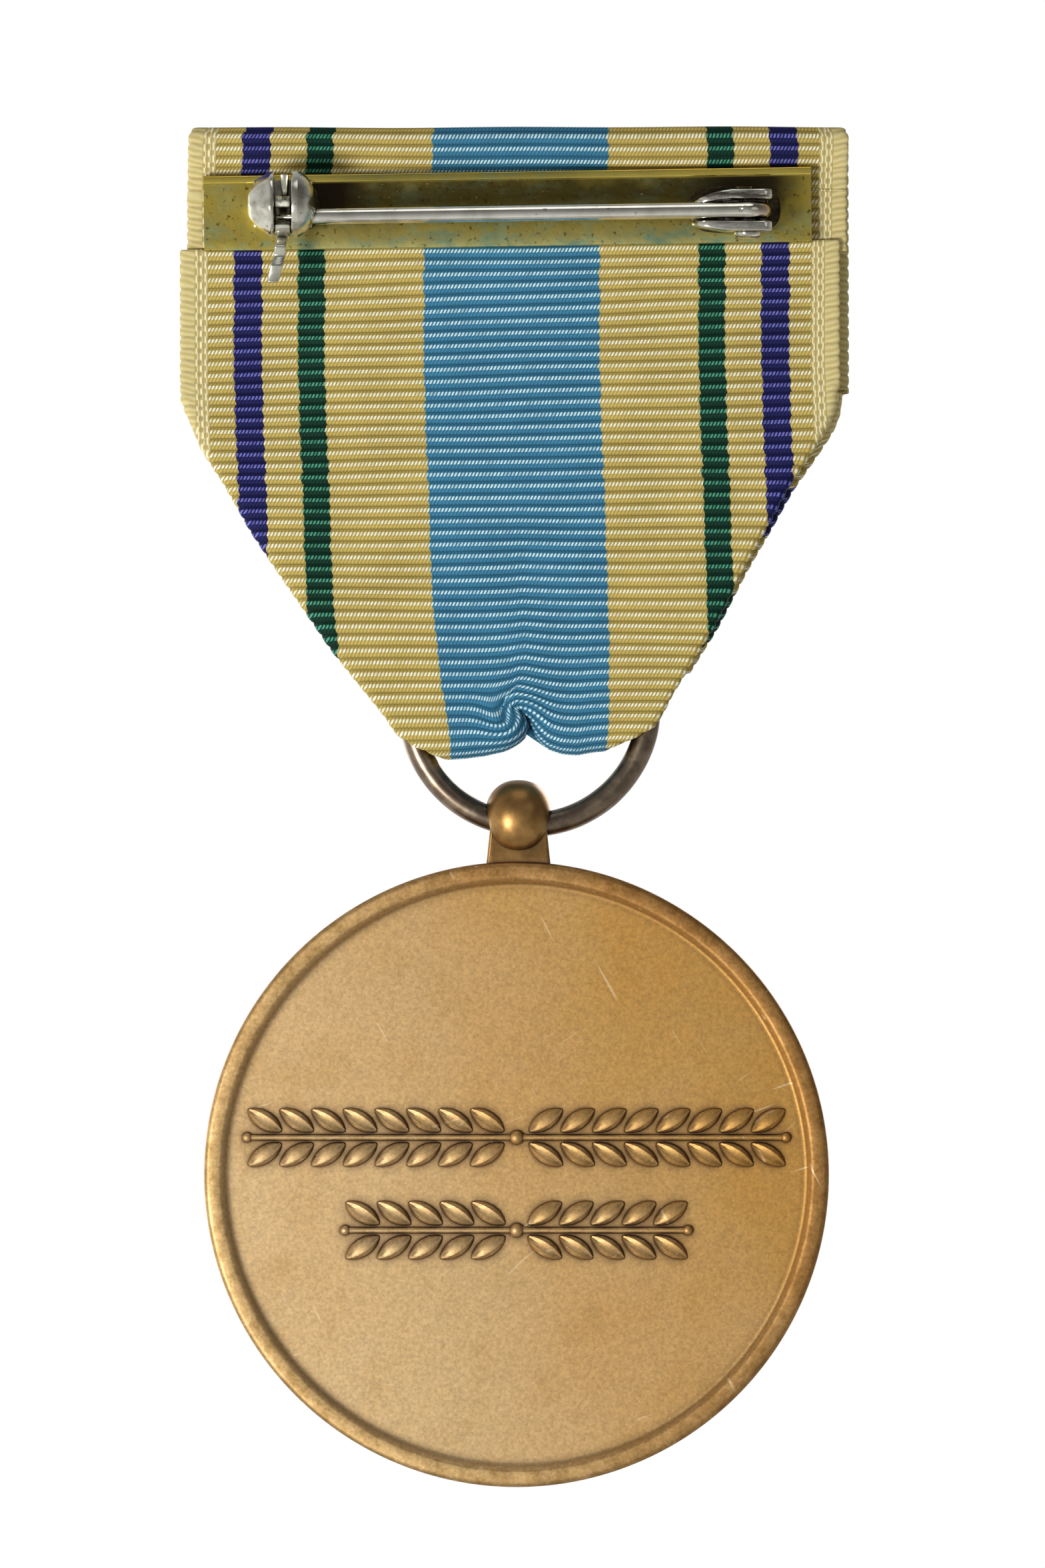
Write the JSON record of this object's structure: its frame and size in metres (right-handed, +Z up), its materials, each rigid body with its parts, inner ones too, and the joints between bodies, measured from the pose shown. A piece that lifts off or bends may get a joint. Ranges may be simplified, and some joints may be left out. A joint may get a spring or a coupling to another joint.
{
  "type": "military service medal",
  "caption": "Struck bronze service medal on a wire ring, hung from a folded striped ribbon with a pin-back brass brooch and safety catch.",
  "frame": {"origin": "on the medal's centre line, in the middle of the back plate's cloth-side face", "axes": "+Z up the ribbon, -Y out of the pin side towards the wearer's cloth, +Y out of the show side, +X along the brooch towards the hinge"},
  "size_m": [0.0373, 0.0079, 0.0762],
  "materials": {
    "old_brass": "tarnished olive-gold sheet with greenish stains and a bright rolled edge",
    "ribbon_cloth": "ribbed silk-like ribbon, sand with purple, green and light blue stripes",
    "plated_steel": "worn bright plating, slightly brown in the recesses",
    "solder": "dull grey-brown solder and heat stain",
    "dark_bronze": "dark brown patina, semi-gloss",
    "bronze": "satin antique bronze, darker in the recesses"
  },
  "bodies": {
    "brooch": {"back_plate": "old_brass", "inner_bar": "old_brass", "ribbon_wrap": "ribbon_cloth", "hinge_bracket": "plated_steel", "hinge_rivet": "plated_steel", "catch_housing": "plated_steel", "hinge_solder": "solder", "catch_solder": "solder"},
    "pin": {"pin_stem": "plated_steel"},
    "safety_roller": {"catch_roller": "plated_steel"},
    "drape": {"ribbon_drape": "ribbon_cloth"},
    "ring": {"suspension_ring": "dark_bronze"},
    "medal": {"medallion": "bronze"}
  },
  "joints": [
    {"name": "drape_flex", "type": "hinge", "parent": "brooch", "child": "drape", "pos_m": [0, 0.00225, -0.00255], "axis": [1, 0, 0], "range_deg": [-12, 45]},
    {"name": "ring_slide_round", "type": "hinge", "parent": "drape", "child": "ring", "pos_m": [0.00072, 0.0019, -0.02775], "axis": [0, 1, 0], "range_deg": [-30, 22]},
    {"name": "medal_tilt", "type": "hinge", "parent": "ring", "child": "medal", "pos_m": [0.00011, 0.0019, -0.03445], "axis": [1, 0, 0], "range_deg": [-110, 110]},
    {"name": "pin_swing", "type": "hinge", "parent": "brooch", "child": "pin", "pos_m": [0.0129, -0.0021, -0.00027], "axis": [0, 0, 1], "range_deg": [0, 95]},
    {"name": "catch_turn", "type": "hinge", "parent": "brooch", "child": "safety_roller", "pos_m": [-0.01343, -0.0021, -0.00055], "axis": [-1, 0, 0], "range_deg": [0, 110]}
  ]
}
